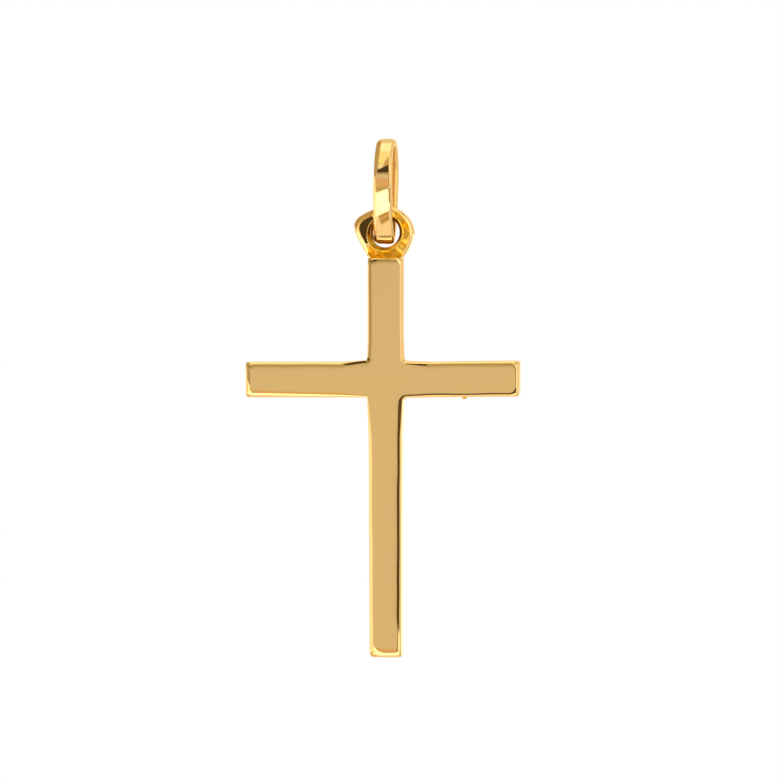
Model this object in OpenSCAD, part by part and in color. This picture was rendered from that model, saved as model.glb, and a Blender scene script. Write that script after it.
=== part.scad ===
// Cross pendant: a flat Latin cross with a soldered eye, hung on a band bail.
// Millimetres, +Z up, +X to the right, the front faces -Y.
// The origin is the inside top of the bail, where a chain would run along X.

/* [Cross] */
// Height of the cross, without its eye
cross_h = 21.98; // [18:0.02:27]
// Reach of the left arm from the middle of the eye
arm_left = 7.73; // [6:0.01:9.5]
// Reach of the right arm from the middle of the eye
arm_right = 7.42; // [6:0.01:9.5]
// Width of the upright
bar_w = 1.86; // [1.5:0.02:2.3]
// Height of the arms
arm_h = 1.98; // [1.6:0.02:2.4]
// From the top of the cross down to the middle of the arms
arm_drop = 6.7; // [5:0.05:8.5]
// Thickness of the cross, front to back
cross_t = 1.0; // [0.8:0.02:1.1]
// Polished rounding of the front edges, at its widest
edge_round = 0.27; // [0.2:0.01:0.35]
// Radius of the inner corners, where arms and upright meet
inner_r = 0.2; // [0.12:0.01:0.4]
// Radius of the outer corners
corner_r = 0.13; // [0.08:0.01:0.2]

/* [Eye] */
// Metal between the hole and the right side of the eye
eye_wall = 0.74; // [0.6:0.01:0.9]
// Rounding of the eye's outer rim
eye_rim = 0.2; // [0.12:0.01:0.28]
// Chamfer at each mouth of the hole
mouth_chamfer = 0.15; // [0.08:0.01:0.2]
// Room beside the bail's band in the hole, on each side
hole_play = 0.29; // [0.26:0.01:0.4]
// Free gap under the bail's band in the hole
under_gap = 0.18; // [0.15:0.01:0.3]
// How far the eye's foot is sunk into the top of the cross
foot_sink = 0.2; // [0.15:0.01:0.3]
// How far the foot lies back from the front and the back of the cross
foot_inset = 0.06; // [0.03:0.01:0.12]
// Metal between the hole and the top of the cross
neck = 0.56; // [0.45:0.01:0.8]

/* [Bail] */
// Height of the bail, outside
bail_h = 5.8; // [5:0.05:7]
// Depth of the bail at its widest, outside
bail_d = 3.3; // [2.8:0.05:4]
// Width of its band
bail_w = 1.08; // [0.9:0.02:1.3]
// Thickness of the band at the top and the bottom
bail_t = 0.42; // [0.35:0.01:0.5]
// Extra thickness of the band in its upper legs
leg_extra = 0.3; // [0:0.01:0.4]
// Width of the bevel on the outer edges of the band
bail_bevel = 0.24; // [0.16:0.01:0.28]
// How far the bail leans to the left at its foot, in degrees
bail_lean = 0.5; // [-1:0.1:1]
// Gap between the eye and each leg of the bail that carries it
seat_gap = 0.05; // [0.04:0.01:0.08]

/* [Solder nub] */
// Radius of the nub left under the right arm
nub_r = 0.16; // [0.12:0.01:0.22]
// Its place along the right arm, from the middle of the eye
nub_x = 4.33; // [2.5:0.01:5.5]

/* [Hidden] */
gold = [0.87, 0.68, 0.36];
bail_gold = [0.93, 0.76, 0.42];
// Points on each quarter turn of a rounded corner, and steps over a rounded edge
corner_steps = 4;
edge_steps = 3;
// Stations round the bail and round the eye
bail_stations = 56;
eye_stations = 48;
$fn = 64;

// The bail's outline is an egg: its half depth is egg_b * sin(a) * (1 + egg_k * cos(a)), with the
// angle a counted from the top. egg_peak is the greatest value of that curve for egg_b = 1.
egg_k = 0.35;
egg_peak = max([for (a = [60:1:90]) sin(a) * (1 + egg_k * cos(a))]);
egg_b = bail_d / 2 / egg_peak;
bail_mid_z = bail_t - bail_h / 2;
bail_bottom_z = bail_t - bail_h;

function egg(a) = [egg_b * sin(a) * (1 + egg_k * cos(a)), bail_mid_z + bail_h / 2 * cos(a)];
function egg_slope(a) = [egg_b * (cos(a) + egg_k * cos(2 * a)), -bail_h / 2 * sin(a)];
function egg_normal(a) = let (s = egg_slope(a)) [-s[1], s[0]] / norm(s);
// The band is thickest in the upper legs
function band_t(a) = bail_t + leg_extra * pow(sin(a), 2) * (1 + cos(a)) / 2;
function egg_inside(a) = egg(a) - band_t(a) * egg_normal(a);

// The hole passes the band with play all round. The narrowing inside of the bail carries the eye at
// the height where the mouths of the hole meet the band's inner edges, so it sets the eye's depth.
hole_r = bail_w / 2 + hole_play;
eye_r = hole_r + eye_wall;
hole_z = bail_bottom_z + hole_r - under_gap;
mouth_r = hole_r + mouth_chamfer;
seat_reach = bail_w / 2 + abs(hole_z * sin(bail_lean));
seat_z = hole_z + sqrt(pow(mouth_r, 2) - pow(seat_reach, 2));
inside_by_height = [for (a = [180:-2:60]) let (p = egg_inside(a)) [p[1], p[0]]];
eye_d = 2 * (lookup(seat_z, inside_by_height) - seat_gap);

cross_top_z = hole_z - hole_r - neck;
cross_bottom_z = cross_top_z - cross_h;
arm_z = cross_top_z - arm_drop;
arm_top_z = arm_z + arm_h / 2;
arm_low_z = arm_z - arm_h / 2;

// Corners of the cross seen from the front, clockwise from the top left. inset is the share of the
// edge rounding that is taken off, 0 on the walls and 1 on the flat face.
// Columns: [x, z, corner radius, radius gained by the face, rounding along x, rounding along z],
// the last two as shares of edge_round.
function cross_rows() = let (
    half = bar_w / 2,
    flare_up = 0.6 * arm_h,
    flare_down = 1.1 * arm_h,
    flare_x = 1.3 * bar_w,
    out = corner_r,
    grown = 0.7 * edge_round
) [
    [-1.02 * half, cross_top_z, out, grown, 0.50, -0.70],
    [1.03 * half, cross_top_z, out, grown, -0.35, -0.70],
    [1.03 * half, arm_top_z + flare_up, 0, 0, -0.35, 0],
    [1.08 * half, arm_top_z + 0.02 * arm_h, inner_r, grown, -0.35, -0.40],
    [half + flare_x, arm_top_z - 0.01 * arm_h, 0, 0, 0, -0.60],
    [arm_right, arm_top_z + 0.02 * arm_h, out, grown, -0.60, -0.80],
    [arm_right, arm_low_z + 0.02 * arm_h, out, grown, -0.60, 0.90],
    [half + flare_x, arm_low_z, 0, 0, 0, 0.80],
    [1.09 * half, arm_low_z - 0.01 * arm_h, inner_r, grown, -0.70, 0.50],
    [half, arm_low_z - flare_down, 0, 0, -0.75, 0],
    [0.99 * half, cross_bottom_z, out, grown, -0.80, 1],
    [-0.93 * half, cross_bottom_z, out, grown, 0.90, 1],
    [-0.98 * half, arm_low_z - flare_down, 0, 0, 0.70, 0],
    [-1.05 * half, arm_low_z - 0.02 * arm_h, inner_r, grown, 0.40, 0.30],
    [-half - flare_x, arm_low_z, 0, 0, 0, 0.60],
    [-arm_left, arm_low_z, out, grown, 0.90, 1],
    [-arm_left, arm_top_z - 0.01 * arm_h, out, grown, 0.80, -0.80],
    [-half - flare_x, arm_top_z - 0.01 * arm_h, 0, 0, 0, -0.70],
    [-1.05 * half, arm_top_z + 0.03 * arm_h, inner_r, grown, 0.30, -0.40],
    [-1.02 * half, arm_top_z + flare_up, 0, 0, 0.40, 0],
];

// Outline of the eye round its hole, and its depth, which drops to the foot that is soldered on the
// cross. Columns: [angle from +X, radius, depth]
foot_r = hole_r + neck + foot_sink;
foot_d = cross_t - 2 * foot_inset;
eye_rows = [
    [0, 1.00 * eye_r, eye_d],
    [30, 0.96 * eye_r, eye_d],
    [60, 0.93 * eye_r, eye_d],
    [90, 0.90 * eye_r, eye_d],
    [122, 0.90 * eye_r, eye_d],
    [140, 0.99 * eye_r, 0.98 * eye_d],
    [152, 1.09 * eye_r, 0.94 * eye_d],
    [165, 1.13 * eye_r, 0.92 * eye_d],
    [176, 1.07 * eye_r, 0.93 * eye_d],
    [190, 0.98 * eye_r, 0.92 * eye_d],
    [205, 0.94 * eye_r, 0.88 * eye_d],
    [224, 0.96 * eye_r, 1.08 * foot_d],
    [240, 1.06 * foot_r, foot_d],
    [270, foot_r, foot_d],
    [302, 1.08 * foot_r, foot_d],
    [318, 1.03 * eye_r, 1.08 * foot_d],
    [338, 1.00 * eye_r, 0.94 * eye_d],
    [360, 1.00 * eye_r, eye_d],
];
function eye_radius(a) = lookup(a, [for (row = eye_rows) [row[0], row[1]]]);
function eye_half_depth(a) = lookup(a, [for (row = eye_rows) [row[0], row[2] / 2]]);

// An arc of radius r that replaces the corner at p, between the directions to its two neighbours
function corner_arc(p, before, after, r) = let (
    u = (before - p) / norm(before - p),
    v = (after - p) / norm(after - p),
    half = acos(u * v) / 2,
    middle = p + (u + v) / norm(u + v) * r / sin(half),
    start = p + u * r / tan(half) - middle,
    end = p + v * r / tan(half) - middle,
    a0 = atan2(start[1], start[0]),
    turn = (atan2(end[1], end[0]) - a0 + 540) % 360 - 180
) [for (k = [0:corner_steps]) let (a = a0 + turn * k / corner_steps) middle + r * [cos(a), sin(a)]];

function round_corners(rows) = let (n = len(rows), xz = [for (row = rows) [row[0], row[1]]]) [
    for (i = [0:n - 1])
        each rows[i][2] > 0
            ? corner_arc(xz[i], xz[(i + n - 1) % n], xz[(i + 1) % n], rows[i][2])
            : [xz[i]]
];

// The cross's outline with a share of its edge rounding taken off, at the depth y
function cross_ring(inset, y) = let (
    rows = [for (row = cross_rows()) [
        row[0] + inset * edge_round * row[4],
        row[1] + inset * edge_round * row[5],
        row[2] > 0 ? row[2] + inset * row[3] : 0,
    ]]
) [for (p = round_corners(rows)) [p[0], y, p[1]]];

// The eye's outline at a share of its depth, from -1 at the front to 1 at the back, drawn in by inset
function eye_ring(depth, inset) = [for (i = [0:eye_stations - 1]) let (
    a = 360 - 360 * i / eye_stations,
    r = eye_radius(a) - inset
) [r * cos(a), depth * eye_half_depth(a), hole_z + r * sin(a)]];

// The flat face of the cross in convex pieces: a ladder of four-sided faces along each limb, from the
// middles of two inner corners to its end, and one more face at the crossing.
function cross_cap(n) = let (
    first = 2 * (corner_steps + 1) + 1 + corner_steps / 2,
    limb = n / 4
) concat(
    [[for (m = [0:3]) first + limb * m]],
    [for (m = [0:3], s = [0:(limb - 1) / 2 - 1])
        let (a = first + limb * m + s, b = first + limb * (m + 1) - s)
            [a % n, (a + 1) % n, (b - 1) % n, b % n]]
);

// Walls between rings of n points each, as triangles
function ring_walls(n, rings) = [
    for (k = [0:rings - 2], i = [0:n - 1]) let (j = (i + 1) % n)
        each [[k * n + i, (k + 1) * n + i, k * n + j], [k * n + j, (k + 1) * n + i, (k + 1) * n + j]]
];

// Front face, rounded front edge, straight walls and flat back
module cross_bars() {
    rings = concat(
        [for (k = [0:edge_steps]) let (a = 90 * k / edge_steps)
            cross_ring(1 - sin(a), -cross_t / 2 + edge_round * (1 - cos(a)))],
        [cross_ring(0, cross_t / 2)]
    );
    n = len(rings[0]);
    last = n * (len(rings) - 1);
    polyhedron(
        points = [for (ring = rings) each ring],
        faces = concat(
            cross_cap(n),
            ring_walls(n, len(rings)),
            [for (face = cross_cap(n)) [for (i = [len(face) - 1:-1:0]) last + face[i]]]
        )
    );
}

// The eye before its hole is cut, with rounded rims
module eye_blank() {
    rim = [for (k = [0:edge_steps]) let (a = 90 * k / edge_steps)
        eye_rim * [1 - sin(a), 1 - cos(a)]];
    steps = concat(
        [for (r = rim) [-1 + 2 * r[1] / eye_d, r[0]]],
        [for (i = [edge_steps:-1:0]) [1 - 2 * rim[i][1] / eye_d, rim[i][0]]]
    );
    tips = [[0, -eye_d / 2, hole_z], [0, eye_d / 2, hole_z]];
    rings = [for (s = steps) eye_ring(s[0], s[1])];
    n = eye_stations;
    last = n * (len(rings) - 1);
    front_tip = n * len(rings);
    polyhedron(
        points = concat([for (ring = rings) each ring], tips),
        faces = concat(
            ring_walls(n, len(rings)),
            [for (i = [0:n - 1]) let (j = (i + 1) % n)
                each [[front_tip, i, j], [front_tip + 1, last + j, last + i]]]
        )
    );
}

// The round hole with a chamfer at each mouth, along Y
module eye_hole() {
    half = eye_d / 2;
    beyond = half + mouth_chamfer;
    translate([0, 0, hole_z])
        rotate([90, 0, 0])
            rotate_extrude()
                polygon([
                    [0, -beyond], [hole_r + 2 * mouth_chamfer, -beyond], [hole_r, -half + mouth_chamfer],
                    [hole_r, half - mouth_chamfer], [hole_r + 2 * mouth_chamfer, beyond], [0, beyond],
                ]);
}

module cross() {
    color(gold)
        difference() {
            union() {
                cross_bars();
                eye_blank();
                translate([nub_x, cross_t / 2 - nub_r, arm_low_z + nub_r / 2])
                    sphere(r = nub_r);
            }
            eye_hole();
        }
}

// Section of the band at a station: [place across the band, height over its inner face]
function band_section(t) = let (w = bail_w / 2, b = bail_bevel, soft = bail_bevel / 3) [
    [w - b, t],
    [w - b / 3, t - b / 5],
    [w, t - 2 * b / 3],
    [w, soft],
    [w - soft, 0],
    [-w + soft, 0],
    [-w, soft],
    [-w, t - 2 * b / 3],
    [-w + b / 3, t - b / 5],
    [-w + b, t],
];

module bail() {
    rings = [for (i = [0:bail_stations - 1]) let (
        a = 360 * i / bail_stations,
        inside = egg_inside(a),
        out = egg_normal(a)
    ) [for (p = band_section(band_t(a))) [p[0], inside[0] + p[1] * out[0], inside[1] + p[1] * out[1]]]];
    n = len(rings[0]);
    color(bail_gold)
        rotate([0, bail_lean, 0])
            polyhedron(
                points = [for (ring = rings) each ring],
                faces = [for (k = [0:bail_stations - 1], i = [0:n - 1])
                    let (j = (i + 1) % n, on = (k + 1) % bail_stations)
                        each [[k * n + i, on * n + i, k * n + j], [k * n + j, on * n + i, on * n + j]]]
            );
}

cross();
bail();
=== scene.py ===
# %% [markdown]
# A gold cross pendant
#
# The real object is a flat cross of yellow gold, cut from sheet and polished like a mirror. A small
# eye is soldered on its top, left as cast beside the hole, and a band bail passes through that eye.
# The imported solids give the places and sizes. This script gives the surfaces that light sees: soft
# polished edges, a cast skin, and the studio that the gold mirrors.

# %% Load the imported frame
import math

import bmesh
import bpy
import numpy as np
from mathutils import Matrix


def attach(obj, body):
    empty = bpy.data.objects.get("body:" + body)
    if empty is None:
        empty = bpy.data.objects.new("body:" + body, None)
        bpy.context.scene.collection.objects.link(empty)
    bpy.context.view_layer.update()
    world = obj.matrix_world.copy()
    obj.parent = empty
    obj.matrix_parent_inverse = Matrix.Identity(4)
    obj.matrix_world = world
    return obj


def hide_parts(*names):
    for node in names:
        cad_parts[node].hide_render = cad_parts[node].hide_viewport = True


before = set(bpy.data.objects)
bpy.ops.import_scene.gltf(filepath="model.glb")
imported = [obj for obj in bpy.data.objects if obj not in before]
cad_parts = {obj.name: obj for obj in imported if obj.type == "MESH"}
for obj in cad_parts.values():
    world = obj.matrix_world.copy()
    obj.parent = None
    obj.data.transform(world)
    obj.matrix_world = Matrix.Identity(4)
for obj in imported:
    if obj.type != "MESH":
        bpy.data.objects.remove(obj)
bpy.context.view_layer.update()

# %% [markdown]
# Sizes
#
# A goldsmith works from a few sizes, and so does this script. They are the same as the solids', in
# millimetres. The origin is the inside top of the bail, +X is right, +Z is up, the front faces -Y.

# %% Sizes in millimetres
MM = 0.001
CROSS_TOP = -6.12       # top and bottom of the cross
CROSS_BOTTOM = -28.10
ARM_TOP = -11.83        # top and bottom of the arms
ARM_LOW = -13.81
ARM_LEFT = 7.73         # reach of each arm from the middle
ARM_RIGHT = 7.42
BAR_WIDTH = 1.86
THICKNESS = 1.0
HOLE_Z = -4.73          # middle of the hole in the eye
HOLE_RADIUS = 0.83
EYE_RADIUS = 1.57
EYE_DEPTH = 1.115
FOOT_RADIUS = 1.59
FOOT_DEPTH = 0.88
BAIL_HEIGHT = 5.8
BAIL_DEPTH = 3.3
BAIL_WIDTH = 1.08
BAIL_THICKNESS = 0.42
print("cross", ARM_LEFT + ARM_RIGHT, "by", round(CROSS_TOP - CROSS_BOTTOM, 2), "mm")

# %% [markdown]
# From arrays to a mesh
#
# Every piece here is a grid of points worked out as one numpy array: one direction runs along the
# piece, the other across its section. Neighbouring points make four-sided faces. A closed piece
# holds a volume, and the sign of that volume tells whether its faces look outwards.


# %% Faces of a grid, and the volume that they hold
def grid_faces(rows, columns, wrap_rows=False, wrap_columns=False):
    """Faces between neighbouring points. A wrapped direction joins its end to its start."""
    r, c = np.meshgrid(
        np.arange(rows if wrap_rows else rows - 1),
        np.arange(columns if wrap_columns else columns - 1),
        indexing="ij",
    )
    r1, c1 = (r + 1) % rows, (c + 1) % columns
    corners = [r * columns + c, r * columns + c1, r1 * columns + c1, r1 * columns + c]
    return np.stack(corners, -1).reshape(-1, 4)


def enclosed_volume(points, groups):
    """Sum of the signed tetrahedra from the origin to the triangles that fan out in each face."""
    volume = 0
    for faces in groups:
        apex, after, before = points[faces[:, :1]], points[faces[:, 1:-1]], points[faces[:, 2:]]
        volume += (apex * np.cross(after, before)).sum() / 6
    return volume


# %% [markdown]
# A mesh becomes a piece once it has its place in the real object: the body that it rides on when
# the cross swings, and the solid that it is shown in place of. The masks are numbers kept at each
# point, for the materials to read.


# %% From points and faces to a finished piece
WELD = 1e-8    # metres: points nearer than this become one


def make_piece(name, points, groups, body, node, masks=None):
    """One smooth closed mesh in metres at the origin, riding on a body in place of a CAD node.

    The faces come in groups, each with its own number of corners.
    """
    points = np.asarray(points, float).reshape(-1, 3)
    volume = enclosed_volume(points, groups)
    outward = [group if volume > 0 else group[:, ::-1] for group in groups]
    faces = [face for group in outward for face in group.tolist()]
    mesh = bpy.data.meshes.new(name)
    mesh.from_pydata((points * MM).tolist(), [], faces)
    for mask, values in (masks or {}).items():
        attribute = mesh.attributes.new(mask, "FLOAT", "POINT")
        attribute.data.foreach_set("value", np.asarray(values, np.float32).ravel())
    welded = bmesh.new()
    welded.from_mesh(mesh)
    bmesh.ops.remove_doubles(welded, verts=welded.verts, dist=WELD)
    welded.to_mesh(mesh)
    welded.free()
    mesh.polygons.foreach_set("use_smooth", np.ones(len(mesh.polygons), bool))
    piece = bpy.data.objects.new(name, mesh)
    bpy.context.scene.collection.objects.link(piece)
    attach(piece, body)
    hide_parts(node)
    low, high = points.min(0), points.max(0)
    print(name, len(faces), "faces", round(abs(volume), 2), "mm3", low.round(2), high.round(2))
    return piece


# %% Two formulas that shape the surfaces
def smooth_step(x, low, high):
    """0 below low, 1 above high, and 3t^2 - 2t^3 between, with t the share of the way."""
    t = np.clip((x - low) / (high - low), 0, 1)
    return t * t * (3 - 2 * t)


def waves(x, y, z, low, high, count, seed):
    """A lumpy field from -1 to 1 or so: many sine waves of seeded direction, length and phase."""
    random = np.random.default_rng(seed)
    direction = random.normal(size=(count, 3))
    direction /= np.linalg.norm(direction, axis=1, keepdims=True)
    pitch = 2 * np.pi / random.uniform(low, high, count)
    phase = random.uniform(0, 2 * np.pi, count)
    places = np.stack(np.broadcast_arrays(x, y, z), -1) @ (direction * pitch[:, None]).T
    return np.sin(places + phase).sum(-1) / math.sqrt(count / 2)


# %% [markdown]
# Rounded corners
#
# The outline of the cross and the section of the bail's band are both closed shapes with rounded
# corners. A corner's arc touches both of its sides: its middle lies on the bisector, at the radius
# divided by the sine of half the angle. One function works it out for all corners at once, and also
# carries along each edge what is known of that edge, such as how the polisher rounded it.


# %% A closed line with rounded corners
SQUARE = 10    # how square the outer corners of the cross are


def rounded_loop(corners, radii, edge_values, cuts, steps, bends=0.5, reach=None):
    """Points and edge values along a closed line.

    Each corner with a radius becomes an arc of so many steps, each edge is cut in so many parts. On
    an arc the values run from the edge before to the edge after. A corner without a radius is only
    a bend, and there the value is a mix of both edges, with bends as the share of the edge after.
    Where reach is given, the corner is square with a small rounding instead, and seen from a middle
    that lies so far in along both axes: the distance in direction (u, w) is
    ((u / reach x)^p + (w / reach z)^p)^(-1/p), with the p of SQUARE.
    """
    before = np.roll(corners, 1, 0) - corners
    after = np.roll(corners, -1, 0) - corners
    before /= np.linalg.norm(before, axis=1, keepdims=True)
    after /= np.linalg.norm(after, axis=1, keepdims=True)
    half = np.arccos(np.clip((before * after).sum(1), -1, 1)) / 2
    middle = before + after
    middle /= np.linalg.norm(middle, axis=1, keepdims=True) + 1e-12
    centre = corners + middle * (radii / np.sin(half))[:, None]
    touch = (radii / np.tan(half))[:, None]
    start, end = corners + before * touch - centre, corners + after * touch - centre
    angle = np.arctan2(start[:, 1], start[:, 0])
    turn = (np.arctan2(end[:, 1], end[:, 0]) - angle + 3 * np.pi) % (2 * np.pi) - np.pi
    share = np.linspace(0, 1, steps + 1)
    a = angle[:, None] + turn[:, None] * share
    direction = np.stack([np.cos(a), np.sin(a)], -1)
    arcs = centre[:, None] + radii[:, None, None] * direction
    if reach is not None:
        square = (reach != 0).all(1)
        far = np.where(square[:, None], reach, 1)[:, None]
        distance = (np.abs(direction / far) ** SQUARE).sum(-1, keepdims=True) ** (-1 / SQUARE)
        arcs = np.where(square[:, None, None], corners[:, None] + far + direction * distance, arcs)

    is_arc = radii > 0
    arrive, leave = np.roll(edge_values, 1, 0), edge_values
    mixed = arrive + (leave - arrive) * np.reshape(bends, (-1, 1))
    arrive = np.where(is_arc[:, None], arrive, mixed)
    leave = np.where(is_arc[:, None], leave, mixed)
    blend = arrive[:, None] * (1 - share)[:, None] + leave[:, None] * share[:, None]

    keep = is_arc[:, None] | (share[None] == 0)
    knots = np.concatenate([arcs, blend], -1)[keep]
    parts = np.where(share[None] == 1, cuts[:, None], 1)
    parts = np.where(is_arc[:, None], parts, cuts[:, None])[keep]
    index = np.repeat(np.arange(len(knots)), parts)
    first = np.cumsum(parts) - parts
    t = ((np.arange(parts.sum()) - first[index]) / parts[index])[:, None]
    line = knots[index] * (1 - t) + knots[(index + 1) % len(knots)] * t
    return line[:, :2], line[:, 2:]


# %% [markdown]
# The cross
#
# The real cross is cut from sheet 1 mm thick and buffed by hand, so no edge is quite like another:
# the buff eats the ends more than the middles, and leaves a long soft bevel on one edge and a crisp
# turn on the next. Those bevels carry most of what one sees as gold, because each slope mirrors
# another part of the studio. A Bevel modifier would give every edge the same curve, so the edge is
# a profile of its own instead, carried round the outline, with its sizes in a table.

# %% The outline of the cross, clockwise from its top left corner
half = BAR_WIDTH / 2
arm = ARM_TOP - ARM_LOW
arm_middle = (ARM_TOP + ARM_LOW) / 2
flare = half + 0.8 * BAR_WIDTH    # here the arms start to widen toward the crossing
OUT = 0.13      # radius of the outer corners
GROWN = 0.19    # what the flat face's corners have more
# columns: x, z, corner radius, radius gained by the face, edge width along x and z
OUTLINE = np.array([
    (-1.02 * half, CROSS_TOP, OUT, GROWN, 0.21, -0.22),
    (-0.2 * half, CROSS_TOP, 0, 0, 0, -0.23),
    (1.03 * half, CROSS_TOP, OUT, GROWN, -0.09, -0.22),
    (1.03 * half, ARM_TOP + 0.60 * arm, 0, 0, -0.09, 0),
    (1.08 * half, ARM_TOP + 0.02 * arm, 0.25, 0.10, -0.10, -0.17),
    (flare, ARM_TOP - 0.01 * arm, 0, 0, 0, -0.24),
    (ARM_RIGHT, ARM_TOP + 0.02 * arm, OUT, 0.25, -0.17, -0.27),
    (ARM_RIGHT, arm_middle, 0, 0, -0.17, 0),
    (ARM_RIGHT, ARM_LOW + 0.02 * arm, OUT, 0.22, -0.17, 0.20),
    (flare, ARM_LOW, 0, 0, 0, 0.18),
    (1.09 * half, ARM_LOW - 0.01 * arm, 0.22, 0.22, -0.20, 0.14),
    (half, ARM_LOW - 1.1 * arm, 0, 0, -0.21, 0),
    (0.99 * half, CROSS_BOTTOM, OUT, GROWN, -0.22, 0.30),
    (0, CROSS_BOTTOM, 0, 0, 0, 0.31),
    (-0.93 * half, CROSS_BOTTOM, OUT, 0.40, 0.25, 0.31),
    (-0.98 * half, ARM_LOW - 1.1 * arm, 0, 0, 0.20, 0),
    (-1.04 * half, ARM_LOW, 0.06, 0.05, 0.04, 0.07),
    (-flare, ARM_LOW, 0, 0, 0, 0.13),
    (-ARM_LEFT, ARM_LOW, OUT, GROWN, 0.27, 0.27),
    (-ARM_LEFT, ARM_LOW + 0.42 * arm, 0, 0, 0.26, 0),
    (-ARM_LEFT, ARM_TOP - 0.01 * arm, OUT, 0.15, 0.24, -0.28),
    (-flare, ARM_TOP - 0.01 * arm, 0, 0, 0, -0.26),
    (-1.05 * half, ARM_TOP + 0.03 * arm, 0.14, 0.20, 0.20, -0.12),
    (-1.02 * half, ARM_TOP + 0.60 * arm, 0, 0, 0.21, 0),
])
# How each edge from a point to the next was polished: slope in degrees that the face rolls off to,
# slope where the soft bevel starts and ends, share of the edge's width that it takes, and slope
# where the crisp turn starts
EDGES = np.array([
    (2, 2.3, 3.8, 0.50, 24), (2, 2.1, 2.7, 0.46, 24),    # top of the upright: left part, right part
    (0, 24, 44, 0.60, 44), (0, 24, 44, 0.60, 44),    # upright, right: above, near the crossing
    (0, 13, 24, 0.35, 30), (2, 2.2, 2.9, 0.45, 22),    # top of the right arm: near, far
    (0, 4, 7, 0.34, 14), (0, 4, 7.5, 0.34, 12),    # right end
    (0, 2, 4.2, 0.40, 12), (0, 2, 4.2, 0.50, 12),    # underside of the right arm: far, near
    (0, 3, 17, 0.85, 30), (0, 2.6, 14, 0.62, 24),    # lower part, right: near, far
    (3, 5, 16, 0.56, 26), (4, 6, 19, 0.60, 30),    # bottom end
    (1, 38, 45, 0.66, 47), (1, 36, 44, 0.68, 46),    # lower part, left: far, near
    (2, 8, 14, 0.30, 30), (3, 7, 19, 0.50, 25),    # underside of the left arm: near, far
    (2, 13, 20, 0.50, 25), (2, 5.2, 7.5, 0.62, 28),    # left end: low part, high part
    (2, 2.1, 2.8, 0.45, 22), (2, 5, 10.5, 0.90, 14),    # top of the left arm: far, near
    (6, 7, 12, 0.60, 26), (6, 7, 12, 0.60, 26),    # upright, left: near the crossing, above
], float)
print("outline:", len(OUTLINE), "corners and bends,", len(EDGES), "polished edges")

# %% Three lines round the cross: its rim, its flat face, and where that face begins to roll off
CORNER_STEPS = 24                    # parts of each arc
CUTS = [1, 1, 40, 12, 12, 40]        # parts of each edge in turn, the same for all four limbs
cuts = np.array(CUTS * 4)
corners, inward = OUTLINE[:, :2], OUTLINE[:, 4:6]
face_radius = np.where(OUTLINE[:, 2] > 0, OUTLINE[:, 2] + OUTLINE[:, 3], 0)
row = np.arange(len(OUTLINE)) % len(CUTS)    # every limb has the same six kinds of corner and bend
outer_corner, inner_corner = (row == 0) | (row == 2), row == 4
# At an outer corner the rim and the roll share the middle of the face's arc, so that all lines
# across the edge run straight out from it
reach = np.where(outer_corner[:, None], inward + np.sign(inward) * face_radius[:, None], 0)
# At a bend beside the crossing the far edge's polish counts, at an end's middle both halves' do
bends = np.choose(row, [0.5, 0.5, 0.5, 0, 0.5, 1])
rim_line, edge_line = rounded_loop(corners, OUTLINE[:, 2], EDGES, cuts, CORNER_STEPS, bends, reach)
face_line, _ = rounded_loop(corners + inward, face_radius, EDGES, cuts, CORNER_STEPS)
ROLL, ROLL_AT_END = 0.22, 0.8    # width of the face's roll-off, and its share at an end's middle
LEAST_RADIUS = 0.05
roll_width = ROLL * np.where(row == 1, ROLL_AT_END, 1)[:, None]
roll_radius = np.where(
    outer_corner, np.maximum(face_radius - ROLL, LEAST_RADIUS), face_radius + ROLL * inner_corner,
)
roll_line, _ = rounded_loop(
    corners + inward + roll_width * np.sign(inward), roll_radius, EDGES, cuts, CORNER_STEPS,
)
# The hand at the buff wavers, and so does the line that it leaves
WAVER = 0.06    # share of the edge's width
waver = 1 + WAVER * waves(rim_line[:, 0], 0, rim_line[:, 1], low=1.5, high=5, count=10, seed=11)
face_line = rim_line + (face_line - rim_line) * waver[:, None]
print("round the cross:", len(rim_line), "points")


# %% The edge profile, carried round the outline
# Where the roll-off and the soft bevel have their rings, as shares of their width
ROLL_SHARES = np.array([0, 0.25, 0.5, 0.75, 0.92])
SOFT_SHARES = np.array([0, 0.125, 0.25, 0.375, 0.5, 0.625, 0.75, 0.875, 0.975, 1])
CREASE = 0.02        # share of the crisp turn that stays straight, for a sharp crease beside it
TURN_STEPS = 9       # parts of the crisp turn
BACK_STEPS = 4       # parts of the back edge's rounding
BACK_ROUND = 0.05    # radius of that rounding
SUPPORT = 0.02       # guard strips that keep wall and back flat


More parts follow.
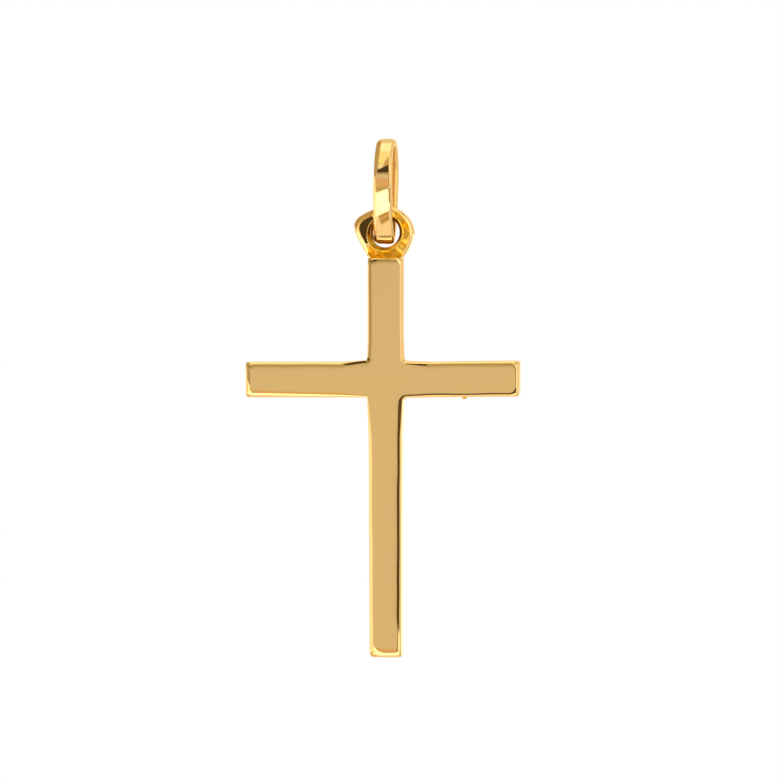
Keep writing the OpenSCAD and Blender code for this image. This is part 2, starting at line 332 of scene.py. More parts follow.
def edge_rings(rim, face, inner, edge):
    """Rings from the flat face over the edge, down the wall and round to the back.

    The face rolls off along a parabola. After a crease the soft bevel's slope grows evenly from its
    start to its end, so its drop is a parabola too. The crisp turn is an arc that ends at a right
    angle. Depth is in millimetres behind the middle of the face.
    """
    tangent = np.roll(rim, -1, 0) - np.roll(rim, 1, 0)
    tangent /= np.linalg.norm(tangent, axis=1, keepdims=True)
    width, roll_width = (
        np.abs(across[:, 0] * tangent[:, 1] - across[:, 1] * tangent[:, 0])
        for across in (face - rim, inner - face)
    )
    rolled, start, end, turned = np.radians(edge[:, [0, 1, 2, 4]]).T
    share = edge[:, 3]
    t = ROLL_SHARES[:, None]
    roll_drop = roll_width * np.tan(rolled) / 2
    roll_depth = roll_drop * t * t
    roll_place = inner + t[..., None] * (face - inner)
    t = SOFT_SHARES[:, None]
    soft_place = share * t
    drop = np.tan(start) * t + (np.tan(end) - np.tan(start)) * t * t / 2
    soft_depth = roll_drop + width * share * drop
    slope = turned + (np.pi / 2 - turned) * np.linspace(0, 1, TURN_STEPS + 1)[:, None]
    straight = CREASE * (1 - share)
    bend = 1 - share - straight
    turn_place = share + straight + bend * (np.sin(slope) - np.sin(turned)) / (1 - np.sin(turned))
    turn_depth = soft_depth[-1] + width * (
        straight * np.tan(turned) + bend * (np.cos(turned) - np.cos(slope)) / (1 - np.sin(turned))
    )
    back = np.radians(np.linspace(0, 90, BACK_STEPS + 1))[:, None]
    inset = BACK_ROUND * (1 - np.cos(back)) / width
    place = np.concatenate([
        soft_place, turn_place, np.ones((2, len(rim))), 1 - inset, 1 - inset[-1:] - SUPPORT / width,
    ])
    wall_end = THICKNESS - BACK_ROUND
    depth = np.concatenate([
        roll_depth, soft_depth, turn_depth, turn_depth[-1:] + SUPPORT,
        np.full((1, len(rim)), wall_end - SUPPORT),
        wall_end + BACK_ROUND * np.sin(back) * np.ones(len(rim)),
        np.full((1, len(rim)), THICKNESS),
    ])
    flat = np.concatenate([roll_place, face + place[..., None] * (rim - face)])
    return np.stack([flat[..., 0], depth - THICKNESS / 2, flat[..., 1]], -1)


def flat_face(points_round, first, tip):
    """The flat face: rungs, one face at the crossing and one at each tip.

    The rungs run across each limb, from the middles of two inner corners toward its end. The tip's
    points lie nearly in line.
    """
    limb = points_round // 4
    last = (limb - tip) // 2
    starts = first + limb * np.arange(4)
    s, a = np.meshgrid(np.arange(last), starts)
    rungs = np.stack([a + s, a + s + 1, a + limb - s - 1, a + limb - s], -1).reshape(-1, 4)
    tips = starts[:, None] + np.arange(last, limb - last + 1)
    return [np.concatenate([rungs, starts[None]]) % points_round, tips % points_round]


rings = edge_rings(rim_line, face_line, roll_line, edge_line)
around = rings.shape[1]
first_inner = 5 * CORNER_STEPS // 2 + sum(CUTS[:4])    # the middle of the first inner corner
TIP_POINTS = 16                                        # edges of the face at each limb's tip
front_face = [group[:, ::-1] for group in flat_face(around, first_inner, TIP_POINTS)]
back_face = [group[:, ::-1] + around * (len(rings) - 1) for group in front_face]
bar_faces = [*front_face, grid_faces(len(rings), around, wrap_columns=True), *back_face]
cross_bars = make_piece("cross_bars", rings, bar_faces, "cross", "cross")

# %% [markdown]
# The eye
#
# The eye is a cast ring, soldered on and only partly cleaned up. Its outer rim and the lip round
# the hole are polished, the left side is filed to a flat facet, and the floor between rim and lip
# keeps its cast skin on the right and below. A torus would be too even, so it is made as a section
# carried round the hole: wall, mouth, lip, floor, rim, outside, and the plain back.

# %% Shape of the eye round its hole
# columns: angle from +X toward +Z, outer radius, half depth, rim width, slopes of the rim's bevel
# where it starts and ends, and radius of the lip round the mouth
EYE = np.array([
    (0, 1.00 * EYE_RADIUS, 0.500 * EYE_DEPTH, 0.15, 10, 24, 0.98),
    (30, 0.96 * EYE_RADIUS, 0.500 * EYE_DEPTH, 0.16, 11, 24, 0.98),
    (60, 0.93 * EYE_RADIUS, 0.500 * EYE_DEPTH, 0.19, 12, 24, 0.97),
    (90, 0.90 * EYE_RADIUS, 0.500 * EYE_DEPTH, 0.20, 14, 28, 0.95),
    (122, 0.90 * EYE_RADIUS, 0.500 * EYE_DEPTH, 0.26, 26, 40, 0.92),
    (140, 0.99 * EYE_RADIUS, 0.490 * EYE_DEPTH, 0.30, 28, 42, 0.91),
    (152, 1.09 * EYE_RADIUS, 0.470 * EYE_DEPTH, 0.31, 27, 40, 0.92),
    (165, 1.13 * EYE_RADIUS, 0.460 * EYE_DEPTH, 0.27, 20, 32, 0.92),
    (176, 1.07 * EYE_RADIUS, 0.465 * EYE_DEPTH, 0.24, 14, 21, 0.93),
    (190, 0.98 * EYE_RADIUS, 0.460 * EYE_DEPTH, 0.24, 14, 21, 0.97),
    (205, 0.94 * EYE_RADIUS, 0.440 * EYE_DEPTH, 0.25, 14, 21, 1.02),
    (224, 0.96 * EYE_RADIUS, 0.540 * FOOT_DEPTH, 0.22, 14, 21, 1.05),
    (240, 1.06 * FOOT_RADIUS, 0.500 * FOOT_DEPTH, 0.14, 14, 24, 1.05),
    (270, 1.00 * FOOT_RADIUS, 0.500 * FOOT_DEPTH, 0.10, 14, 24, 1.00),
    (302, 1.08 * FOOT_RADIUS, 0.500 * FOOT_DEPTH, 0.12, 24, 34, 0.98),
    (318, 1.03 * EYE_RADIUS, 0.540 * FOOT_DEPTH, 0.15, 24, 36, 0.98),
    (338, 1.00 * EYE_RADIUS, 0.470 * EYE_DEPTH, 0.15, 22, 34, 0.98),
])
EYE_STATIONS = 420
NEAR = np.array([-5, -2.5, 0, 2.5, 5])    # degrees over which the table's values are averaged
angle = np.arange(EYE_STATIONS) * 360 / EYE_STATIONS


def round_eye(column):
    """The table's value at every station, averaged over a few degrees so that it has no kinks."""
    return np.interp(angle[:, None] + NEAR, EYE[:, 0], EYE[:, column], period=360).mean(1)[:, None]


def sector(low, high, soft=10):
    """1 from the low to the high angle, fading to 0 over soft degrees on both sides."""
    middle, reach = (low + high) / 2, (high - low) / 2
    away = np.abs((angle - middle + 180) % 360 - 180)
    return (1 - smooth_step(away, reach, reach + soft))[:, None]


outer, deep, rim, rim_start, rim_end, lip = (round_eye(column) for column in range(1, 7))
at_foot = sector(234, 306, 8)
as_cast = np.maximum(sector(226, 360, 8), sector(0, 75, 15))
facet = sector(128, 212, 6)
print("eye:", round(outer.max() * 2, 2), "mm at its widest,", EYE_STATIONS, "stations")

# %% [markdown]
# Each part of the eye's section is a pair of arrays, one row for each station round the hole: the
# radius, and the depth in front of the middle. The floor comes first, because lip and rim stand on
# it. The filed facet is a plane that leans back. The cast skin is a sum of seeded waves and a dent.

# %% The floor, from the lip to the foot of the rim
LIP_WIDTH, LIP_HEIGHT = 0.04, 0.025     # how far the lip falls to the floor, across and down
RISE = 0.03                             # width of the step from the floor to the rim
RIM_LOST = 0.6                          # share of the rim's width that is lost at the foot
FACET_LEAN, FACET_LOW = math.radians(6), -0.50
FACET_DEPTH = 0.438                     # at FACET_LOW, as a share of the eye's depth
FLOOR_SUNK, PLAIN_SUNK = 0.05, 0.02     # cast floor, and any other, below the rim
LUMP_HEIGHT, LUMPS_FROM = 0.022, 0.15   # the lumps grow over this share of the floor
DENT_X, DENT_Z, DENT_SIZE, DENT_DEPTH = 1.22, 0.37, 0.16, 0.07
NOTCH_X, NOTCH_Z, NOTCH_LONG, NOTCH_WIDE, NOTCH_DEPTH = -0.62, -1.10, 0.13, 0.05, 0.10
NOTCH_RIGHT, NOTCH_DOWN = 0.72, 0.69    # the direction in which the notch runs
a = np.radians(angle)[:, None]
v = np.linspace(0, 1, 33)[None]
rim_foot = outer - rim * (1 - RIM_LOST * at_foot)
floor_r = lip + LIP_WIDTH + (rim_foot - RISE - lip - LIP_WIDTH) * v
x, z = floor_r * np.cos(a), floor_r * np.sin(a)
plane = FACET_DEPTH * EYE_DEPTH - math.tan(FACET_LEAN) * (z - FACET_LOW)
lumps = waves(x, 0, z, low=0.35, high=0.90, count=40, seed=3)
dent = np.exp(-((x - DENT_X) ** 2 + (z - DENT_Z) ** 2) / DENT_SIZE ** 2)
along = (x - NOTCH_X) * NOTCH_RIGHT - (z - NOTCH_Z) * NOTCH_DOWN
beside = (x - NOTCH_X) * NOTCH_DOWN + (z - NOTCH_Z) * NOTCH_RIGHT
notch = np.exp(-(along / NOTCH_LONG) ** 2 - (beside / NOTCH_WIDE) ** 2)
growing = smooth_step(v, 0, LUMPS_FROM)
rough = deep - FLOOR_SUNK + LUMP_HEIGHT * lumps * growing - DENT_DEPTH * dent
plain = deep - PLAIN_SUNK
floor_depth = plain + (rough - plain) * as_cast + (plane - plain) * facet - NOTCH_DEPTH * notch
print("lumps up to", round(LUMP_HEIGHT * np.abs(lumps).max(), 3), "mm high")

# %% The front of the eye: wall of the hole, mouth, lip, floor, rim and outside
# Rings crowd beside each crease, so that the smooth shading doesn't wash it out
MOUTH_DEPTH = 0.16
BEVEL_SHARE = 0.55    # share of the rim that is soft bevel, the rest is the crisp turn
ones = np.ones_like(a)
lip_depth = floor_depth[:, :1] + LIP_HEIGHT
throat = lip_depth - MOUTH_DEPTH
t = np.array([0, 0.3, 0.6, 0.85, 0.97])[None]
wall = (HOLE_RADIUS * ones * np.ones_like(t), throat * t)
t = np.array([0, 0.03, 0.25, 0.5, 0.75, 0.97])[None]
cone = (HOLE_RADIUS + (lip - HOLE_RADIUS) * t, throat + (lip_depth - throat) * t)
t = np.linspace(0, 1, 6)[None, :-1]
crest = (lip + LIP_WIDTH * t, lip_depth - LIP_HEIGHT * smooth_step(t, 0, 1))
t = np.linspace(0, 1, 6)[None, 1:]
floor_end = floor_depth[:, -1:]
rim_depth = deep + (floor_end - deep) * at_foot
rise = (rim_foot - RISE + RISE * t, floor_end + (rim_depth - floor_end) * smooth_step(t, 0, 1))
t = np.linspace(0, 1, 8)[None, 1:]
soft = (outer - rim_foot) * BEVEL_SHARE
start, end = np.tan(np.radians(rim_start)), np.tan(np.radians(rim_end))
bevel = (rim_foot + soft * t, rim_depth - soft * (start * t + (end - start) * t * t / 2))
turned = np.radians(rim_end)
slope = turned + (np.pi / 2 - turned) * np.linspace(0, 1, 10)[None, 1:]
radius = (outer - rim_foot) * (1 - BEVEL_SHARE) / (1 - np.sin(turned))
turn_depth = bevel[1][:, -1:] - radius * (np.cos(turned) - np.cos(slope))
turn = (outer - radius * (1 - np.sin(slope)), turn_depth)
t = np.array([0.35, 0.7, 1])[None]
outside = (outer * np.ones_like(t), turn[1][:, -1:] * (1 - t))
front = [wall, cone, crest, (floor_r, floor_depth), rise, bevel, turn, outside]
front_r, front_y = (np.concatenate([part[k] for part in front], 1) for k in (0, 1))
print("front of the eye:", front_r.shape[1], "rings of", len(front_r), "points")

# %% The plain back: rim, flat, mouth and wall
# On the left, seen from the front, the wall leans in before the mouth, so that it shows beside the
# bail. It leans only as far as leaves the bail free through the whole swing.
BACK_RIM, BACK_MOUTH = 0.19, 0.12     # radius of the rim's rounding; the mouth's width and depth
LEANING_IN, LEAN_FOOT = 0.12, 0.10    # how far the wall leans in; how much deeper its mouth is
leans = sector(156, 206, 20)
lean = LEANING_IN * leans
mouth_deep = BACK_MOUTH + LEAN_FOOT * leans
t = np.radians(np.linspace(90, 0, 8))[None]
back_rim = (outer - BACK_RIM * (1 - np.sin(t)), deep - BACK_RIM * (1 - np.cos(t)))
t = np.linspace(0, 1, 8)[None, 1:]
flat_r = outer - BACK_RIM + (HOLE_RADIUS + BACK_MOUTH - outer + BACK_RIM) * t
back_flat = (flat_r, deep * np.ones_like(t))
t = np.array([0.97, 0.66, 0.33, 0.03])[None]
back_cone = (HOLE_RADIUS - lean + (BACK_MOUTH + lean) * t, deep - mouth_deep * (1 - t))
t = np.array([0.97, 0.66, 0.33])[None]
back_wall = (HOLE_RADIUS - lean * t, (deep - mouth_deep) * t)
back = [back_rim, back_flat, back_cone, back_wall]
print("back of the eye: the wall leans in by", round(lean.max(), 2), "mm at most")

# %% The whole eye, and its masks
# Where the skin is as cast, how much painted shade it gets, and where the metal faces the hole
SHADE_MEAN, SHADE_PER_LUMP = 0.35, 0.30    # painted shade at the lumps' mean height, and less per height
DENT_SHADE, FOOT_SHADE = 0.8, 0.45         # how much more painted shade the dent gets, and the foot
ring_r = np.concatenate([front_r] + [part[0] for part in back], 1)
ring_y = np.concatenate([-front_y] + [part[1] for part in back], 1)
eye_points = np.stack([ring_r * np.cos(a), ring_y, HOLE_Z + ring_r * np.sin(a)], -1)
widths = [part[0].shape[1] for part in front]
floor_from, floor_to = sum(widths[:2]), sum(widths[:5])
cast, hollow, inside = (np.zeros_like(ring_r) for _ in range(3))
cast[:, floor_from:floor_to] = as_cast
# Painted shade: the skin is darker where the lumps lie low
skin_hollow = np.clip(SHADE_MEAN - SHADE_PER_LUMP * lumps, 0, 1) * as_cast
# More painted shade in the dent, and at the foot where the eye meets the cross
floor_hollow = skin_hollow + DENT_SHADE * dent + FOOT_SHADE * at_foot
hollow[:, sum(widths[:3]):sum(widths[:4])] = floor_hollow
inside[:, :floor_from] = 1
inside[:, -sum(part[0].shape[1] for part in back[2:]):] = 1
eye_faces = grid_faces(*ring_r.shape, wrap_rows=True, wrap_columns=True)
cross_eye = make_piece(
    "cross_eye", eye_points, [eye_faces], "cross", "cross",
    {"cast": cast, "hollow": np.clip(hollow, 0, 1), "inside": inside},
)

# %% [markdown]
# The nub
#
# A speck of solder stands under the right arm. A sphere with a few seeded waves in its radius is
# enough, because it is smaller than a grain of sand.

# %% The nub under the right arm
NUB_RADIUS, NUB_X = 0.16, 4.33
NUB_FROM_BACK, NUB_SUNK = 0.01, 0.08    # gap to the plane of the back; its middle inside the arm
NUB_LUMPS = 0.07                        # share of the radius
lat, lon = np.meshgrid(np.linspace(0, np.pi, 17), np.linspace(0, 2 * np.pi, 33)[:-1], indexing="ij")
ball = np.stack([np.sin(lat) * np.cos(lon), np.sin(lat) * np.sin(lon), np.cos(lat)], -1)
bumps = waves(ball[..., 0], ball[..., 1], ball[..., 2], low=0.8, high=2.0, count=12, seed=5)
lumpy = NUB_RADIUS * (1 + NUB_LUMPS * bumps)
middle = np.array([NUB_X, THICKNESS / 2 - NUB_RADIUS - NUB_FROM_BACK, ARM_LOW + NUB_SUNK])
nub = ball * lumpy[..., None] + middle
all_over = np.ones(lat.shape)
# The whole nub gets the hollow colour: painted shade, because it sits under the arm
solder_nub = make_piece(
    "solder_nub", nub, [grid_faces(*lat.shape, wrap_columns=True)], "cross", "cross",
    {"cast": all_over, "hollow": all_over, "inside": 0 * all_over},
)

# %% [markdown]
# The bail
#
# The bail is a band bent to an egg, narrow end down, thicker in its upper legs. From the front its
# face shows the studio from ceiling to floor, because the face turns through all those angles. The
# face falls off a little toward its left edge. That edge has a broad bevel at the crown and a
# narrow one below, the right edge a fine one. A curve with a bevel profile would keep one section
# all round. Here two sections are rounded loops with the same number of points, so the band can be
# a blend of them.

# %% The band's two sections
side, top = BAIL_WIDTH / 2, BAIL_THICKNESS
FALL_FROM, FALL_CURVE = 0.26, 0.042    # left of here the face falls off, by this times the square
BAND_CORNER_STEPS = 6
# columns: place across the band, height over its inner face, corner radius, parts of the edge after
LEG_BAND = np.array([
    (-side, 0, 0.13, 2),
    (-side, top - 0.13, 0.05, 2),
    (-side + 0.10, top - 0.036, 0.07, 2),
    (-side + 0.16, top - 0.004, 0.07, 9),
    (side - 0.16, top, 0.06, 2),
    (side - 0.10, top - 0.006, 0.04, 2),
    (side, top - 0.08, 0.05, 2),
    (side, 0, 0.13, 6),
])
CROWN_BAND = LEG_BAND.copy()
CROWN_BAND[0:4, 0] = (-side, -side, -side + 0.10, -side + 0.32)
CROWN_BAND[1:4, 1] = (top - 0.19, top - 0.115, top - 0.006)


def band_section(rows):
    """A rounded section whose outer face falls off as a parabola toward its left."""
    no_values, parts = np.zeros((len(rows), 1)), rows[:, 3].astype(int)
    line, _ = rounded_loop(rows[:, :2], rows[:, 2], no_values, parts, BAND_CORNER_STEPS)
    fall = FALL_CURVE * np.clip(FALL_FROM - line[:, 0], 0, None) ** 2
    line[:, 1] -= fall * (line[:, 1] > top / 2)
    return line


leg_section, crown_section = band_section(LEG_BAND), band_section(CROWN_BAND)
print("sections of the band:", len(leg_section), "and", len(crown_section), "points")

# %% [markdown]
# The egg's path has its half depth at b sin(a) (1 + k cos(a)) and its height at h/2 cos(a), with a
# from the top. The section stands square to it, so the path's slope gives the direction of the
# band's thickness. Wear and the file come last, as on the real bail, and act on the width alone.

# %% The band carried along the egg
EGG_K = 0.35                              # how much narrower the lower end is
DEEPEST = np.radians(np.arange(60, 91))   # the egg has its full depth somewhere in here
EGG_B = BAIL_DEPTH / 2 / (np.sin(DEEPEST) * (1 + EGG_K * np.cos(DEEPEST))).max()
BAIL_MIDDLE = BAIL_THICKNESS - BAIL_HEIGHT / 2
BAIL_STATIONS = 420
LEG_EXTRA = 0.3                           # what the upper legs are thicker
# Cosines of a between which the crown's section comes in, and goes again near the top
CROWN_GROWS, CROWN_ENDS = (0.1, 0.85), (0.92, 0.995)
a = np.linspace(0, 2 * np.pi, BAIL_STATIONS, endpoint=False)[:, None]
near_crown = smooth_step(np.cos(a), *CROWN_GROWS) * (1 - smooth_step(np.cos(a), *CROWN_ENDS))
near_crown = near_crown[..., None]
section = leg_section[None] * (1 - near_crown) + crown_section[None] * near_crown
egg_y = EGG_B * np.sin(a) * (1 + EGG_K * np.cos(a))
egg_z = BAIL_MIDDLE + BAIL_HEIGHT / 2 * np.cos(a)
path = np.stack([egg_y, egg_z])
slope = np.stack([EGG_B * (np.cos(a) + EGG_K * np.cos(2 * a)), -BAIL_HEIGHT / 2 * np.sin(a)])
normal = np.stack([-slope[1], slope[0]]) / np.hypot(*slope)
thick = BAIL_THICKNESS + LEG_EXTRA * np.sin(a) ** 2 * (1 + np.cos(a)) / 2
height = section[..., 1] + (thick - top) * (section[..., 1] > top / 2)
y, z = path + (height - thick) * normal
print("egg:", round(np.ptp(y), 2), "mm deep and", round(np.ptp(z), 2), "mm high")

# %% Wear, filing and the finished bail
WORN = 0.18                           # from the top and the bottom, the corners are worn this far
WORN_TOP, WORN_BOTTOM = 0.12, 0.25    # share of the half width that is worn off there
# What is filed off the left edge in steps, going up: z from, z to, depth
FILED = [(-4.6, -3.9, 0.04), (-2.9, -1.0, 0.065), (0, BAIL_THICKNESS, 0.015)]
LEAN = math.radians(0.5)    # the bail hangs this much out of plumb
INNER = (0.05, 0.15)        # between these heights the section turns from facing in to facing out
from_end = np.minimum(BAIL_THICKNESS - z, z - BAIL_THICKNESS + BAIL_HEIGHT)
rounding = 1 - np.sqrt(np.clip(1 - (1 - from_end / WORN).clip(0) ** 2, 0, 1))
worn = np.where(z > BAIL_MIDDLE, WORN_TOP, WORN_BOTTOM) * rounding
x = section[..., 0] * (1 - worn)
filed = sum(depth * smooth_step(z, low, high) for low, high, depth in FILED)
x = side - (side - x) * (1 - filed / BAIL_WIDTH)
leaning_x = x * math.cos(LEAN) + z * math.sin(LEAN)
leaning_z = z * math.cos(LEAN) - x * math.sin(LEAN)
bail_points = np.stack([leaning_x, y, leaning_z], -1)
bail_faces = grid_faces(*y.shape, wrap_rows=True, wrap_columns=True)
bail_band = make_piece(
    "bail_band", bail_points, [bail_faces], "bail", "bail",
    {"inside": 1 - smooth_step(section[..., 1], *INNER)},
)

# %% [markdown]
# Gold
#
# Polished gold is all mirror: its own colour only tints what it mirrors, red fully, green less and
# blue least. So the base colour is the metal's reflectance, metallic is 1 and roughness is low. A
# buffed surface still has a haze and faint marks along the stroke of the buff, and a node group
# makes those for every material. Where the eye is as cast, light bounces several times between
# the lumps and is tinted each time. That deep orange is painted into the skin's colour as shade.


# %% Node group for the marks of the buff
def new_group(name, inputs, outputs):
    """An empty node group with its sockets, and its input and output nodes."""
    group = bpy.data.node_groups.new(name, "ShaderNodeTree")
    for label, kind, value in inputs:
        socket = group.interface.new_socket(label, in_out="INPUT", socket_type=kind)
        if value is not None:
            socket.default_value = value
    for label, kind in outputs:
        group.interface.new_socket(label, in_out="OUTPUT", socket_type=kind)
    return group, group.nodes.new("NodeGroupInput"), group.nodes.new("NodeGroupOutput")


def add(tree, kind, **values):
    """A shader node with its properties set by name and its sockets by name or number (_0, _1)."""
    node = tree.nodes.new("ShaderNode" + kind)
    for key, value in values.items():
        if key.startswith("_"):
            node.inputs[int(key[1:])].default_value = value
        elif hasattr(node, key):
            setattr(node, key, value)
        else:
            node.inputs[key.replace("_", " ")].default_value = value
    return node


def join(tree, *wires):
    """Links, each given as a node, its output, the next node and its input."""
    for start, output, end, entry in wires:
        tree.links.new(start.outputs[output], end.inputs[entry])


buff, given, result = new_group(
    "buff_marks",
    [
        ("Vector", "NodeSocketVector", None),
        ("Low", "NodeSocketFloat", 0.04),
        ("High", "NodeSocketFloat", 0.09),
    ],
    [("Roughness", "NodeSocketFloat"), ("Height", "NodeSocketFloat")],
)
stroke = add(buff, "Mapping", Scale=(900, 900, 2600))
haze = add(buff, "TexNoise", Scale=700.0, Detail=3.0)
marks = add(buff, "TexNoise", Scale=6.0, Detail=4.0, Roughness=0.6)
spread = add(buff, "MapRange", _1=0.35, _2=0.7)
join(
    buff,
    (given, "Vector", haze, "Vector"),
    (given, "Vector", stroke, "Vector"),
    (stroke, "Vector", marks, "Vector"),
    (haze, "Fac", spread, "Value"),
    (given, "Low", spread, "To Min"),
    (given, "High", spread, "To Max"),
    (spread, "Result", result, "Roughness"),
    (marks, "Fac", result, "Height"),
)
print("group", buff.name, "with", len(buff.nodes), "nodes")

# %% [markdown]
# Metal that faces a hole isn't buffed: it stays matt. The bail and the eye both have such metal, so
# this is a group too. It mixes toward the matt metal where the piece's own mask says so. Inside the
# bail that metal is pale. Inside the small hole it is brown, and that brown is painted shade.

# %% Node group for unbuffed metal, with painted shade in the small hole
MATT_ROUGHNESS = 0.28
# The matt colour that goes in is painted shade for the small hole, and plain matt gold for the bail
unbuffed_and_shaded, given, result = new_group(
    "unbuffed_and_shaded_inside",
    [
        ("Inside", "NodeSocketFloat", 0.0),
        ("Color", "NodeSocketColor", None),
        ("Matt Color", "NodeSocketColor", None),
        ("Roughness", "NodeSocketFloat", 0.05),
    ],
    [("Color", "NodeSocketColor"), ("Roughness", "NodeSocketFloat")],
)
# Toward the matt colour where the mask is 1, which in the small hole is painted shade
matt_and_shade_colour = add(unbuffed_and_shaded, "Mix", data_type="RGBA")
matt = add(unbuffed_and_shaded, "Mix", data_type="FLOAT", _3=MATT_ROUGHNESS)
join(
    unbuffed_and_shaded,
    (given, "Inside", matt_and_shade_colour, 0),
    (given, "Color", matt_and_shade_colour, 6),
    (given, "Matt Color", matt_and_shade_colour, 7),
    (given, "Inside", matt, 0),
    (given, "Roughness", matt, 2),
    (matt_and_shade_colour, 2, result, "Color"),
    (matt, 0, result, "Roughness"),
)
print("group", unbuffed_and_shaded.name, "with", len(unbuffed_and_shaded.nodes), "nodes")

# %% [markdown]
# The golds share one builder: a tint that drifts a little over the piece, the buff's roughness, a
# faint bump, and the unbuffed inside, which is painted shade in the small hole. The eye adds its
# cast skin over them where its masks say so.


# %% Gold materials
EDGE_TINT = (1, 0.90, 0.68, 1)    # the metal's tint where light only grazes it
BUFF_DEPTH = 0.00002              # metres


def gold(name, tone, deep_tone, matt_and_shade_tone, low, high, strength):
    """Polished gold, matt where the inside mask is 1, in a matt tone that is painted shade in the
    small hole. Low and high are the buffed roughness.

    Returns the material, its shader, and the nodes that a further finish is added to.
    """
    material = bpy.data.materials.new(name)
    material.use_nodes = True
    tree = material.node_tree
    shader = tree.nodes["Principled BSDF"]
    shader.inputs["Metallic"].default_value = 1.0
    shader.inputs["Specular Tint"].default_value = EDGE_TINT
    place = add(tree, "TexCoord")
    drift = add(tree, "TexNoise", Scale=260.0, Detail=2.0)
    tint = add(tree, "Mix", data_type="RGBA", _6=(*tone, 1), _7=(*deep_tone, 1))
    marks = add(tree, "Group", node_tree=buff, Low=low, High=high)
    mask = add(tree, "Attribute", attribute_name="inside")
    matt = add(tree, "Group", node_tree=unbuffed_and_shaded, Matt_Color=(*matt_and_shade_tone, 1))
    bump = add(tree, "Bump", Strength=strength, Distance=BUFF_DEPTH)
    join(
        tree,
        (place, "Object", drift, "Vector"),
        (place, "Object", marks, "Vector"),
        (drift, "Fac", tint, 0),
        (tint, 2, matt, "Color"),
        (marks, "Roughness", matt, "Roughness"),
        (mask, "Fac", matt, "Inside"),
        (matt, "Color", shader, "Base Color"),
        (matt, "Roughness", shader, "Roughness"),
        (marks, "Height", bump, "Height"),
        (bump, "Normal", shader, "Normal"),
    )
    return material, shader, place, matt, bump


# The hole's brown is painted shade of the narrow hole, not a colour of the metal
GOLD, GOLD_DEEP, HOLE_SHADE_BROWN = (0.97, 0.63, 0.245), (0.96, 0.615, 0.232), (0.52, 0.28, 0.02)
BAIL_GOLD, BAIL_DEEP, BAIL_MATT = (0.98, 0.65, 0.27), (0.97, 0.635, 0.25), (0.95, 0.62, 0.22)
polished = gold(
    "polished_gold", GOLD, GOLD_DEEP, HOLE_SHADE_BROWN, low=0.03, high=0.05, strength=0.012,
)[0]
polished_bail = gold(
    "polished_bail_gold", BAIL_GOLD, BAIL_DEEP, BAIL_MATT, low=0.04, high=0.07, strength=0.012,
)[0]
print("golds:", polished.name, "and", polished_bail.name)

# %% [markdown]
# Cast skin
#
# Light that falls between the lumps bounces from wall to wall and is tinted each time, so the
# hollows are a deep orange brown and the tops are yellow. The mesh has the lumps. The material
# paints
# that in: painted shade of deep orange brown in the hollows and lit yellow on the tops, then a
# rougher skin and a fine grain.

# %% Gold with its cast skin and the painted shade of its hollows
# Lit yellow for the tops, and painted shade of deep orange brown for the hollows
SKIN_LIT_TOPS, SKIN_HOLLOW_SHADE = (1.0, 0.63, 0.10, 1), (0.96, 0.38, 0.006, 1)
SKIN_ROUGHNESS, GRAIN_DEPTH = 0.30, 0.00003    # the depth is in metres
cast_gold, shader, place, matt, bump = gold(
    "cast_gold", GOLD, GOLD_DEEP, HOLE_SHADE_BROWN, low=0.05, high=0.09, strength=0.02,
)
tree = cast_gold.node_tree
cast_mask, hollow_mask = (
    add(tree, "Attribute", attribute_name=name) for name in ("cast", "hollow")
)
grain = add(tree, "TexNoise", Scale=4200.0, Detail=2.0, Roughness=0.5)
pits = add(tree, "Math", operation="MULTIPLY")
# The skin's colour, running from the lit tops to painted shade where the hollow mask is high
skin = add(tree, "Mix", data_type="RGBA", _6=SKIN_LIT_TOPS, _7=SKIN_HOLLOW_SHADE)
over = add(tree, "Mix", data_type="RGBA")
rough_skin = add(tree, "Mix", data_type="FLOAT", _3=SKIN_ROUGHNESS)
skin_bump = add(tree, "Bump", Strength=0.14, Distance=GRAIN_DEPTH)
join(
    tree,
    (place, "Object", grain, "Vector"),
    (grain, "Fac", pits, 0),
    (cast_mask, "Fac", pits, 1),
    (hollow_mask, "Fac", skin, 0),
    (cast_mask, "Fac", over, 0),
    (matt, "Color", over, 6),
    (skin, 2, over, 7),
    (over, 2, shader, "Base Color"),
    (cast_mask, "Fac", rough_skin, 0),
    (matt, "Roughness", rough_skin, 2),
    (rough_skin, 0, shader, "Roughness"),
    (pits, 0, skin_bump, "Height"),
    (bump, "Normal", skin_bump, "Normal"),
    (skin_bump, "Normal", shader, "Normal"),
)

# %% Each piece gets its gold
for piece, material in (
    (cross_bars, polished), (cross_eye, cast_gold),
    (solder_nub, cast_gold), (bail_band, polished_bail),
):
    piece.data.materials.append(material)
    print(piece.name, "is", material.name)

# %% [markdown]
# The studio
#
# A mirror looks like its room, so the room is most of the picture. Jewellery is shot in a white
# tent, with cards and dark flags round the lens that draw the edges. Here the tent is the world's
# colour by direction, and a table gives each card's place, seen from the pendant: azimuth 0 is
# straight to the front and positive to the right, elevation is above the horizon. An edge that
# slants has an elevation at either end. Later cards lie over earlier ones. The camera itself sees
# plain white.

